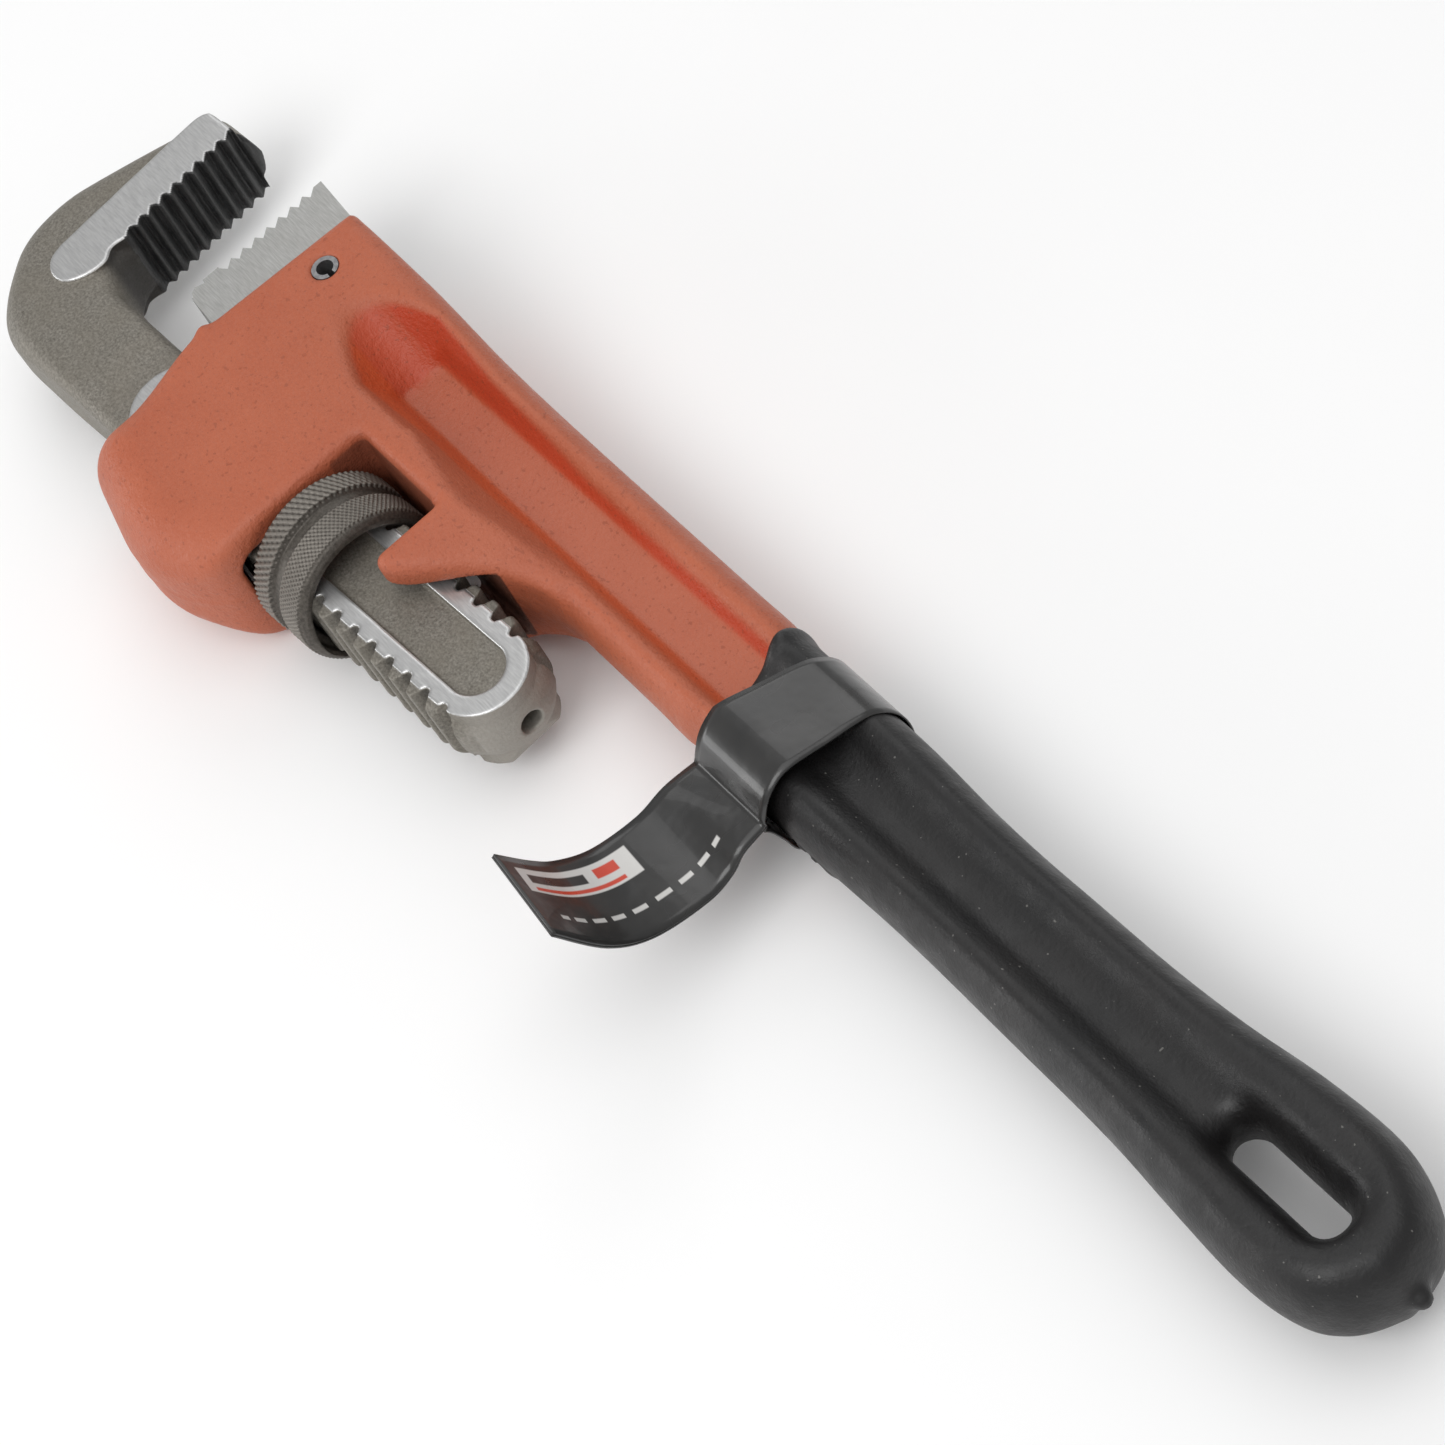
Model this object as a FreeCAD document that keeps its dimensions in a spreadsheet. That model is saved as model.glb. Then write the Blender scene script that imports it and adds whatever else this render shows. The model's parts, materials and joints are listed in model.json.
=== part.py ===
import FreeCAD, Part
import math
import os

import Sketcher

# Cast-iron pipe wrench, 14 inch size, lying flat on its back cheek.
# X runs along the handle toward the hang hole, Y toward the jaw mouth, Z up; millimetres.
# The handle, its insert, the pin, the grip and the tag are drawn in the handle's frame: handle
# axis y = 0, mid-plane z = 0, x = 0 beside the nut.  The hook jaw, the nut and the two springs are
# drawn in the shank's frame: the shank axis is x, and x = 0 is beside the nut too.

doc = FreeCAD.newDocument("pipe_wrench")

SIZES = [
    # where the two drawing frames lie in the wrench's own frame
    ("centre_x", 71.0), ("centre_y", -20.4), ("mid_height", 15.0),
    ("shank_line_y", -31.6), ("shank_tilt", 2.45),
    # handle casting
    ("housing_depth", 30.0), ("beam_depth", 16.4), ("web_depth", 8.0),
    ("recess_half", 4.9), ("recess_slope", 22.0),
    ("mouth_side", 12.6), ("back_side", 12.4), ("head_left", 45.2),
    ("head_edge", 3.0), ("lobe_round", 24.0), ("lobe_corner", 9.0), ("bead_round", 4.0),
    ("channel_half", 9.0), ("channel_top", 20.7), ("channel_bottom", 47.8), ("tail_top", 16.4),
    ("window_head", 3.4), ("window_tail", 19.4), ("window_top", 15.3),
    ("slot_half", 8.8), ("slot_floor", 25.0), ("slot_side", 18.9),
    ("pin_x", 38.0), ("pin_y", 1.6), ("pin_radius", 2.6), ("pin_wall", 0.9), ("pin_length", 29.4),
    ("spring_x", 14.0), ("spring_bore", 4.3), ("spring_top", 11.6),
    ("vinyl", 1.0), ("grip_start", 84.0),
    ("hang_x", 216.35), ("hang_long", 23.7), ("hang_wide", 6.2),
    # teeth of both jaws
    ("tooth_pitch", 2.82), ("tooth_depth", 1.55), ("tooth_steep", 0.97),
    ("heel_teeth", 8), ("hook_teeth", 10), ("jaw_depth", 17.4),
    # hook jaw
    ("forging_depth", 15.8), ("neck_depth", 14.6), ("rim_depth", 15.4), ("pocket_depth", 1.3),
    ("shank_half", 10.8), ("hook_edge", 4.0), ("hook_bend", 22.5), ("hook_back_tilt", 13.4),
    ("rim_half", 8.89), ("rim_inner", 5.2), ("rim_left", 52.0), ("rim_right", 56.87),
    ("shank_end", 58.0), ("end_hole", 2.2),
    ("thread_pitch", 5.08), ("thread_root", 7.9), ("thread_phase", 18.56), ("thread_lead", 0.0725),
    ("thread_turns", 19), ("crest_flat", 1.3),
    # adjusting nut
    ("nut_radius", 15.1), ("nut_neck", 14.0), ("nut_left", 1.95), ("nut_right", 12.5),
    ("nut_bore", 11.67), ("nut_major", 13.2),
    # springs and tag
    ("wire", 1.2), ("coil_radius", 2.8), ("coil_turns", 5),
    ("leaf_thick", 0.6), ("leaf_wide", 12.0),
    ("tag_thick", 0.6), ("tag_wide", 19.0), ("tag_x", 90.0),
]

sheet = doc.addObject("Spreadsheet::Sheet", "Sizes")
for row, (alias, value) in enumerate(SIZES, start=1):
    sheet.set("A%d" % row, alias)
    sheet.set("B%d" % row, "%g" % value)
    sheet.setAlias("B%d" % row, alias)
doc.recompute()


def size(alias):
    return float(sheet.get(alias))


def bind(thing, prop, expression):
    """Tie one property to the spreadsheet; a cell is written $alias."""
    thing.setExpression(prop, expression.replace("$", "Sizes."))


def new_body(name):
    body = doc.addObject("PartDesign::Body", name)
    body.Label = name
    return body


def new_sketch(body, name, role="XY_Plane", offset=None):
    """A sketch on one of the body's own origin planes, moved by an optional placement."""
    sketch = body.newObject("Sketcher::SketchObject", name)
    plane = next(item for item in body.Origin.OriginFeatures if item.Role == role)
    sketch.AttachmentSupport = (plane, [""])
    sketch.MapMode = "FlatFace"
    if offset is not None:
        sketch.AttachmentOffset = offset
    return sketch


def lifted(height, turn=0.0, along=0.0, across=0.0):
    """Placement that lifts a sketch off its plane and turns it within the plane."""
    return FreeCAD.Placement(
        FreeCAD.Vector(along, across, height),
        FreeCAD.Rotation(FreeCAD.Vector(0, 0, 1), turn),
    )


def flat(pair):
    return FreeCAD.Vector(pair[0], pair[1], 0.0)


def draw(sketch, start, steps):
    """Closed outline: each step is an end point, or (middle, end) for an arc."""
    here = start
    for step in list(steps) + [start]:
        if isinstance(step[0], tuple):
            middle, end = step
            sketch.addGeometry(Part.Arc(flat(here), flat(middle), flat(end)), False)
            here = end
        elif step != here:
            sketch.addGeometry(Part.LineSegment(flat(here), flat(step)), False)
            here = step


def draw_slot(sketch, left, right, half, middle=0.0):
    """A slot with round ends between two x values."""
    draw(sketch, (left + half, middle + half), [
        (right - half, middle + half),
        ((right, middle), (right - half, middle - half)),
        (left + half, middle - half),
        ((left, middle), (left + half, middle + half)),
    ])


def draw_circle(sketch, centre_x, centre_y, radius):
    """A circle whose centre and radius are spreadsheet expressions."""
    sketch.addGeometry(Part.Circle(flat((1, 1)), FreeCAD.Vector(0, 0, 1), 1.0), False)
    circle = sketch.GeometryCount - 1
    for kind, expression in (("DistanceX", centre_x), ("DistanceY", centre_y)):
        row = sketch.addConstraint(Sketcher.Constraint(kind, -1, 1, circle, 3, 1.0))
        bind(sketch, "Constraints[%d]" % row, expression)
    row = sketch.addConstraint(Sketcher.Constraint("Radius", circle, 1.0))
    bind(sketch, "Constraints[%d]" % row, radius)


def pad(body, sketch, length, both=True, reverse=False):
    feature = body.newObject("PartDesign::Pad", sketch.Name + "_pad")
    feature.Profile = sketch
    feature.Midplane = both
    feature.Reversed = reverse
    bind(feature, "Length", length)
    doc.recompute()
    return feature


def pocket(body, sketch, length, both=True, reverse=False):
    """Pocket that must remove material."""
    before = body.Tip.Shape.Volume
    feature = body.newObject("PartDesign::Pocket", sketch.Name + "_pocket")
    feature.Profile = sketch
    feature.Midplane = both
    feature.Reversed = reverse
    bind(feature, "Length", length)
    doc.recompute()
    if feature.Shape.Volume > before - 0.1:
        raise ValueError(feature.Name + " cut nothing")
    return feature


def edges_near(shape, test):
    """Names of the edges whose middle point passes the test."""
    names = []
    for number, edge in enumerate(shape.Edges, start=1):
        middle = edge.valueAt(0.5 * (edge.FirstParameter + edge.LastParameter))
        if test(middle, edge):
            names.append("Edge%d" % number)
    return names


def fillet(body, radius, test):
    base = body.Tip
    feature = body.newObject("PartDesign::Fillet", body.Name + "_round")
    feature.Base = (base, edges_near(base.Shape, test))
    bind(feature, "Radius", radius)
    doc.recompute()
    return feature


def repeat(body, feature, axis, length, count):
    """Linear pattern of one feature; the body's tip is set so that it counts."""
    pattern = body.newObject("PartDesign::LinearPattern", feature.Name + "_row")
    pattern.Originals = [feature]
    pattern.Direction = axis
    bind(pattern, "Length", length)
    bind(pattern, "Occurrences", count)
    body.Tip = pattern
    doc.recompute()
    return pattern


def place_in_handle_frame(thing):
    bind(thing, "Placement.Base.x", "-$centre_x")
    bind(thing, "Placement.Base.y", "-$centre_y")
    bind(thing, "Placement.Base.z", "$mid_height")


def place_in_shank_frame(thing):
    thing.Placement = FreeCAD.Placement(
        FreeCAD.Vector(-size("centre_x"), size("shank_line_y") - size("centre_y"),
                       size("mid_height")),
        FreeCAD.Rotation(FreeCAD.Vector(0, 0, 1), size("shank_tilt")),
    )
    bind(thing, "Placement.Base.x", "-$centre_x")
    bind(thing, "Placement.Base.y", "$shank_line_y - $centre_y")
    bind(thing, "Placement.Base.z", "$mid_height")
    bind(thing, "Placement.Rotation.Angle", "$shank_tilt")


# --- handle casting -------------------------------------------------------------------------

mouth = size("mouth_side")
back = -size("back_side")


def grip_outline(inset):
    """Start point and steps of the handle's plan from x = 60 to its round end."""
    start = (60.0, mouth - 0.3 * inset)
    steps = [
        (80.0, 12.9 - inset),
        (150.0, 11.8 - inset),
        (180.0, 12.6 - inset),
        (206.0, 15.2 - inset),
        (225.0, 15.9 - inset),
        ((242.4 - inset, 0.6), (225.0, -15.0 + inset)),
        (206.0, -14.6 + inset),
        (180.0, -12.7 + inset),
        (150.0, -12.2 + inset),
        (80.0, -12.9 + inset),
        (60.0, back + 0.3 * inset),
    ]
    return start, steps


def build_beam():
    """The I-beam of the handle, before its recess is cut."""
    body = new_body("beam")
    sketch = new_sketch(body, "beam_plan")
    start, steps = grip_outline(size("vinyl"))
    draw(sketch, (0.0, mouth), [start] + steps + [(0.0, back)])
    pad(body, sketch, "$beam_depth")
    fillet(body, "$bead_round", lambda p, e: abs(p.z) > 8.0 and p.x > 2.0)
    return body


def polar(centre, radius, degrees):
    angle = math.radians(degrees)
    return (centre[0] + radius * math.cos(angle), centre[1] + radius * math.sin(angle))


def build_housing():
    """The thick head with its lobe and its spur, edges rounded."""
    body = new_body("housing_block")
    left = -47.2
    gap = -size("window_head")
    tail = size("window_tail")
    roof = -size("window_top")
    # the lobe's outline: a small arc and a large one joined by their common tangent
    small = size("lobe_corner")
    large = size("lobe_round")
    small_centre = (left + small, -44.5)
    large_centre = (-22.5, -33.0)
    across = large_centre[0] - small_centre[0]
    along = large_centre[1] - small_centre[1]
    lean = math.degrees(math.atan2(along, across))
    touch = 360.0 + lean - math.degrees(math.acos((small - large) / math.hypot(across, along)))
    leave = 360.0 - math.degrees(math.acos((gap - large_centre[0]) / large))
    sketch = new_sketch(body, "housing_plan")
    draw(sketch, (-size("head_left"), mouth), [
        (44.0, mouth),
        (44.0, back - 0.4),
        ((38.7, -14.9), (34.0, -18.6)),
        (21.3, -30.0),
        (tail, -27.6),
        (tail, roof),
        (gap, roof),
        polar(large_centre, large, leave),
        (polar(large_centre, large, 0.5 * (touch + leave)), polar(large_centre, large, touch)),
        polar(small_centre, small, touch),
        (polar(small_centre, small, 0.5 * (180.0 + touch)), polar(small_centre, small, 180.0)),
        (left, -25.0),
    ])
    pad(body, sketch, "$housing_depth")
    fillet(body, "$head_edge", lambda p, e: abs(p.z) > 14.9
           and (p.y > mouth - 0.1 or p.x < gap - 0.5 or (p.x > tail + 0.5 and p.x < 43.0)))
    return body


def cut_ramps(body):
    """Slope both rims of the housing down to the depth of the handle."""
    full = 0.5 * size("housing_depth") + 1.0
    rim = 0.5 * size("beam_depth")
    mouth_ramp = [(-12.0, full), (-12.0, full - 1.0), (2.0, 13.2), (24.0, rim + 0.3), (46.0, rim)]
    back_ramp = [(20.0, full), (20.0, full - 1.0), (30.0, 12.6), (40.0, rim + 1.0), (46.0, rim)]
    for name, ramp, middle in (("mouth_ramp", mouth_ramp, -11.0), ("back_ramp", back_ramp, 25.0)):
        sketch = new_sketch(body, name, "XZ_Plane", lifted(middle))
        outline = ramp + [(46.0, full)]
        draw(sketch, outline[0], outline[1:])
        lower = [(x, -z) for x, z in outline]
        draw(sketch, lower[0], lower[1:])
        pocket(body, sketch, "22" if name == "mouth_ramp" else "50")


def build_recess(name, inset):
    """Cutters for the recess between the rims, narrower and shallower by inset, on both faces."""
    body = new_body(name)
    floor = new_sketch(body, name + "_floor")
    bind(floor, "AttachmentOffset.Base.z", "$web_depth / 2 + %g" % inset)
    half = size("recess_half") - inset
    draw_slot(floor, -9.0, 228.0 + size("recess_half") - inset, half)
    wall = pad(body, floor, "$housing_depth / 2 - $web_depth / 2", both=False)
    bind(wall, "TaperAngle", "$recess_slope")
    scoop = doc.addObject("Part::Ellipsoid", name + "_scoop")
    scoop.Placement = FreeCAD.Placement(FreeCAD.Vector(-11.0, 0.0, 16.5), FreeCAD.Rotation())
    scoop.Radius1 = 9.5
    scoop.Radius2 = 17.3
    scoop.Radius3 = 8.8
    scoop.Angle1 = -90.0
    scoop.Angle2 = 90.0
    upper = fuse(name + "_upper", [body, scoop])
    mirror = doc.addObject("Part::Mirroring", name + "_under")
    mirror.Source = upper
    mirror.Normal = (0, 0, 1)
    mirror.Base = (0, 0, 0)
    doc.recompute()
    return [upper, mirror]


def box(name, left, low, bottom, right, high, top):
    """Part box between two corners, each coordinate a spreadsheet expression."""
    thing = doc.addObject("Part::Box", name)
    bind(thing, "Length", "(%s) - (%s)" % (right, left))
    bind(thing, "Width", "(%s) - (%s)" % (high, low))
    bind(thing, "Height", "(%s) - (%s)" % (top, bottom))
    bind(thing, "Placement.Base.x", left)
    bind(thing, "Placement.Base.y", low)
    bind(thing, "Placement.Base.z", bottom)
    return thing


def cylinder(name, centre_x, centre_y, bottom, radius, height, axis=(0, 0, 1)):
    thing = doc.addObject("Part::Cylinder", name)
    thing.Placement = FreeCAD.Placement(
        FreeCAD.Vector(), FreeCAD.Rotation(FreeCAD.Vector(0, 0, 1), FreeCAD.Vector(*axis)))
    bind(thing, "Radius", radius)
    bind(thing, "Height", height)
    bind(thing, "Placement.Base.x", centre_x)
    bind(thing, "Placement.Base.y", centre_y)
    bind(thing, "Placement.Base.z", bottom)
    return thing


def hang_slot(name, spare):
    """Cutter for the hang slot, larger all round by spare."""
    body = new_body(name)
    sketch = new_sketch(body, name + "_plan")
    half_long = 0.5 * size("hang_long") + spare
    draw_slot(sketch, size("hang_x") - half_long, size("hang_x") + half_long,
              0.5 * size("hang_wide") + spare)
    pad(body, sketch, "$housing_depth")
    return body


def fuse(name, things):
    joined = doc.addObject("Part::MultiFuse", name)
    joined.Shapes = things
    doc.recompute()
    return joined


def cut(name, base, tool):
    result = doc.addObject("Part::Cut", name)
    result.Base = base
    result.Tool = tool
    doc.recompute()
    return result


def build_handle():
    beam = build_beam()
    block = build_housing()
    cut_ramps(block)
    casting = fuse("casting", [beam, block])
    cutters = build_recess("recess", 0.0) + [
        box("shank_channel", "-60", "-$channel_bottom", "-$channel_half",
            "-$window_head + 1", "-$channel_top", "$channel_half"),
        box("tail_channel", "$window_tail - 1", "-60", "-$channel_half",
            "60", "-$tail_top", "$channel_half"),
        box("insert_slot", "-60", "-$slot_side", "-$slot_half",
            "-$slot_floor", "$mouth_side + 5", "$slot_half"),
        cylinder("pin_bore", "-$pin_x", "$pin_y", "-20", "$pin_radius", "40"),
        cylinder("spring_pocket", "-$spring_x", "-$channel_top - 1", "0",
                 "$spring_bore", "$channel_top + 1 - $spring_top", (0, 1, 0)),
        hang_slot("hang_hole", size("vinyl")),
    ]
    handle = cut("handle", casting, fuse("handle_cutters", cutters))
    place_in_handle_frame(handle)
    return handle


def build_grip():
    """Dipped vinyl sleeve: the handle's form grown by its wall, less the handle itself."""
    vinyl = size("vinyl")
    body = new_body("grip_form")
    sketch = new_sketch(body, "grip_plan")
    start, steps = grip_outline(0.0)
    left = size("grip_start")
    draw(sketch, (left, 12.8), steps[1:-2] + [(left, -12.8)])
    pad(body, sketch, "$beam_depth + 2 * $vinyl")
    fillet(body, "$bead_round + $vinyl", lambda p, e: abs(p.z) > 9.0 and p.x > left + 1.0)
    nub = doc.addObject("Part::Cone", "dip_nub")
    nub.Placement = FreeCAD.Placement(
        FreeCAD.Vector(240.0, 1.1, 0.0), FreeCAD.Rotation(FreeCAD.Vector(0, 1, 0), 90))
    nub.Radius1 = 3.6
    nub.Radius2 = 0.9
    nub.Height = 4.9
    form = fuse("grip_solid", [body, nub])
    hollow = fuse("grip_hollow", build_recess("grip_recess", vinyl) + [hang_slot("grip_hole", 0.0)])
    shell = cut("grip_shell", form, hollow)
    core = doc.getObject("handle")
    inner = doc.addObject("Part::Cut", "handle_core")
    inner.Base = core.Base
    inner.Tool = core.Tool
    doc.recompute()
    grip = cut("handle_grip", shell, inner)
    place_in_handle_frame(grip)
    return grip


def tooth_row(body, name, first_x, first_y, turn, side, count):
    """Row of saw-tooth grooves running down (-y) from a crest; side is where the metal is."""
    sketch = new_sketch(body, name, "XY_Plane", lifted(0.0, turn, first_x, first_y))
    pitch = size("tooth_pitch")
    depth = side * size("tooth_depth")
    steep = size("tooth_steep")
    mouth_gap = -side * 0.6
    valley = (depth, -steep) if name == "hook_groove" else (depth, -(pitch - steep))
    draw(sketch, (0.0, 0.0), [valley, (0.0, -pitch), (mouth_gap, -pitch), (mouth_gap, 0.0)])
    groove = pocket(body, sketch, "$housing_depth")
    return repeat(body, groove, (sketch, ["V_Axis"]), "$tooth_pitch * (%s - 1)" % count, count)


def build_heel_jaw():
    body = new_body("heel_jaw")
    sketch = new_sketch(body, "heel_plan")
    inner = -size("slot_floor") - 0.2
    draw(sketch, (-60.8, 13.8), [(-61.2, -17.6), (-50.5, -18.5), (inner, -18.5),
                                 (inner, 11.6), (-45.0, 11.6), (-49.5, 12.7)])
    pad(body, sketch, "$jaw_depth")
    bore = new_sketch(body, "heel_bore")
    draw_circle(bore, "-$pin_x", "$pin_y", "$pin_radius")
    pocket(body, bore, "$housing_depth")
    row = tooth_row(body, "heel_groove", -60.95, 12.2, 0.6, 1.0, "$heel_teeth")
    row.Reversed = True
    doc.recompute()
    nose = new_sketch(body, "heel_relief")
    draw(nose, (-62.0, -13.9), [(-60.2, -14.0), (-61.0, -15.9), (-60.4, -17.0), (-59.4, -17.4),
                                (-59.0, -19.0), (-62.0, -19.0)])
    pocket(body, nose, "$housing_depth")
    place_in_handle_frame(body)
    return body


def build_pin():
    """Slotted spring pin, standing across the head."""
    body = new_body("heel_jaw_pin")
    sketch = new_sketch(body, "pin_ring")
    outer = size("pin_radius") - 0.05
    inner = outer - size("pin_wall")
    half = math.radians(14.0)
    def on_ring(radius, angle):
        return (radius * math.cos(angle) - size("pin_x"), radius * math.sin(angle) + size("pin_y"))
    draw(sketch, on_ring(outer, half), [
        (on_ring(outer, math.pi), on_ring(outer, -half)),
        on_ring(inner, -half * 1.3),
        (on_ring(inner, math.pi), on_ring(inner, half * 1.3)),
    ])
    pad(body, sketch, "$pin_length")
    place_in_handle_frame(body)
    return body


def build_hook_jaw():
    body = new_body("hook_jaw")
    half = size("shank_half")
    end = size("shank_end")
    # back of the hook: a straight run from the nose, then one arc into the neck
    bend = size("hook_bend")
    run_top = (-96.9, 39.0)
    run_tilt = math.radians(size("hook_back_tilt"))
    centre_y = -half + bend
    centre_x = (run_top[0] - (run_top[1] - centre_y) * math.tan(run_tilt)
                + bend / math.cos(run_tilt))
    centre = (centre_x, centre_y)
    tilt = size("hook_back_tilt")
    sketch = new_sketch(body, "hook_plan")
    draw(sketch, (-82.8, 47.8), [
        (-91.5, 47.8),
        run_top,
        polar(centre, bend, 180.0 - tilt),
        (polar(centre, bend, 225.0), polar(centre, bend, 270.0)),
        (-46.0, -half),
        (-46.0, 8.9),
        (-71.5, 8.9),
        ((-78.3, 11.9), (-81.2, 18.6)),
    ])
    pad(body, sketch, "$forging_depth")
    fillet(body, "$hook_edge", lambda p, e: abs(p.z) > 7.5
           and (p.x < -97.5 or (p.y < 5.0 and p.x < -46.5)))
    shank = new_sketch(body, "shank_plan")
    draw(shank, (-48.0, -half), [
        (end - 9.5, -half),
        ((end - 1.2, -half + 5.2), (end, 0.0)),
        ((end - 1.2, half - 5.2), (end - 9.5, half)),
        (-45.0, half),
        (-48.0, 8.9),
    ])
    pad(body, shank, "$neck_depth")
    rim = new_sketch(body, "rim")
    draw_slot(rim, -size("rim_left"), size("rim_right"), size("rim_half"))
    pad(body, rim, "$rim_depth")
    bar = new_sketch(body, "ground_bar")
    draw(bar, (-82.6, 45.2), [
        (-90.4, 45.2),
        ((-91.8, 44.7), (-92.3, 43.0)),
        (-92.4, 38.0),
        (-91.4, 8.6),
        ((-87.2, 3.7), (-82.3, 6.8)),
        ((-81.2, 9.6), (-80.7, 12.6)),
        ((-82.1, 15.0), (-81.3, 18.6)),
    ])
    pad(body, bar, "$jaw_depth")
    nose = new_sketch(body, "nose_draft", "YZ_Plane")
    for side in (1.0, -1.0):
        draw(nose, (48.0, 0.0), [(45.0, side * 8.8), (45.0, side * 12.0), (50.0, side * 12.0),
                                 (50.0, 0.0)])
    pocket(body, nose, "230")
    tooth_row(body, "hook_groove", -82.78, 45.68, 2.8, -1.0, "$hook_teeth").Reversed = True
    for name, low in (("upper_pocket", "$rim_depth / 2 - $pocket_depth"),
                      ("lower_pocket", "-$rim_depth / 2 - 1")):
        floor = new_sketch(body, name)
        draw_slot(floor, -48.5, 52.4, size("rim_inner"))
        bind(floor, "AttachmentOffset.Base.z", low)
        pocket(body, floor, "$pocket_depth + 1", both=False, reverse=True)
    cut_thread(body)
    hole = new_sketch(body, "end_hole_ring", "YZ_Plane", lifted(size("shank_end") - 12.0))
    draw_circle(hole, "0.6", "0", "$end_hole")
    pocket(body, hole, "20", both=False, reverse=True)
    place_in_shank_frame(body)
    return body


def cut_thread(body):
    """Thread on both narrow sides: straight grooves that lean with the helix."""
    pitch = size("thread_pitch")
    root = size("thread_root")
    outer = size("shank_half") + 0.4
    open_half = 0.5 * (pitch - size("crest_flat")) + 0.15
    for side, shift in ((-1.0, 0.0), (1.0, 0.5 * pitch)):
        first = size("thread_phase") + shift - pitch * math.floor(
            (size("thread_phase") + shift + 38.0) / pitch)
        name = "thread_back" if side < 0 else "thread_mouth"
        sketch = new_sketch(body, name, "XY_Plane", lifted(0.0, 0.0, first))
        draw(sketch, (-open_half, side * outer), [
            (-1.15, side * (root + 0.75)),
            ((0.0, side * root), (1.15, side * (root + 0.75))),
            (open_half, side * outer),
        ])
        before = body.Tip.Shape.Volume
        groove = body.newObject("PartDesign::Pocket", name + "_groove")
        groove.Profile = sketch
        groove.UseCustomVector = True
        groove.AlongSketchNormal = True
        groove.Direction = FreeCAD.Vector(side * size("thread_lead"), 0.0, 1.0)
        groove.Midplane = True
        bind(groove, "Length", "$housing_depth")
        doc.recompute()
        if groove.Shape.Volume > before - 1.0:
            raise ValueError(name + " cut nothing")
        repeat(body, groove, (sketch, ["H_Axis"]), "$thread_pitch * ($thread_turns - 1)",
               "$thread_turns")


def build_nut():
    body = new_body("adjusting_nut")
    sketch = new_sketch(body, "nut_section")
    left = -size("nut_left")
    right = size("nut_right")
    outer = size("nut_radius")
    neck = size("nut_neck")
    bore = size("nut_bore")
    draw(sketch, (left, bore + 0.8), [
        (left, outer - 0.7), (left + 0.7, outer), (3.0, outer), (3.6, neck), (5.6, neck),
        (6.1, outer - 0.2), (right - 0.9, outer - 0.2), (right, outer - 1.1),
        (right, bore + 0.8), (right - 0.8, bore), (left + 0.8, bore),
    ])
    ring = body.newObject("PartDesign::Revolution", "nut_ring")
    ring.Profile = sketch
    ring.ReferenceAxis = (sketch, ["H_Axis"])
    ring.Angle = 360.0
    doc.recompute()
    pitch = size("thread_pitch")
    start = size("thread_phase") - 5.0 * pitch
    groove = new_sketch(body, "nut_thread", "XY_Plane", lifted(0.0, 0.0, start))
    major = size("nut_major")
    draw(groove, (-1.75, bore - 0.4), [(-1.0, major), (1.0, major), (1.75, bore - 0.4)])
    helix = body.newObject("PartDesign::SubtractiveHelix", "nut_helix")
    helix.Profile = groove
    helix.ReferenceAxis = (groove, ["H_Axis"])
    helix.Mode = "pitch-turns-angle"
    helix.Turns = 5.0
    helix.Angle = 0.0
    bind(helix, "Pitch", "$thread_pitch")
    doc.recompute()
    place_in_shank_frame(body)
    return body


def build_coil_spring():
    """Coil that pushes the shank away from the roof of the channel; its axis lies along y."""
    spring = doc.addObject("Part::Feature", "coil_spring")
    wire = size("wire")
    low = size("shank_half") + 0.3 + 0.5 * wire
    high = -size("spring_top") - size("shank_line_y") - 0.9 - 0.5 * wire
    turns = size("coil_turns")
    # the shank leans in its channel, so the coil is moved over to stand mid-way in its pocket
    lean = 0.5 * (low + high) * math.tan(math.radians(size("shank_tilt")))
    helix = Part.makeHelix((high - low) / turns, high - low, size("coil_radius"))
    start = helix.Vertexes[0].Point
    circle = Part.Wire(Part.makeCircle(0.5 * wire, start, FreeCAD.Vector(0, 1, 0)))
    coil = Part.Wire(helix.Edges).makePipeShell([circle], True, True)
    upright = FreeCAD.Placement(
        FreeCAD.Vector(lean - size("spring_x"), low, 0.0),
        FreeCAD.Rotation(FreeCAD.Vector(1, 0, 0), -90),
    )
    spring.Shape = coil.transformed(upright.toMatrix(), True)
    place_in_shank_frame(spring)
    return spring


def build_flat_spring():
    """Bowed leaf between the lobe's wall and the back edge of the shank."""
    body = new_body("flat_spring")
    sketch = new_sketch(body, "leaf_bow")
    thick = size("leaf_thick")
    near = -size("shank_half") - 0.45
    draw(sketch, (-37.0, near - 1.1), [
        ((-22.0, near), (-7.0, near - 1.1)),
        (-7.0, near - 1.1 - thick),
        ((-22.0, near - thick), (-37.0, near - 1.1 - thick)),
    ])
    pad(body, sketch, "$leaf_wide")
    place_in_shank_frame(body)
    return body


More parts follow.
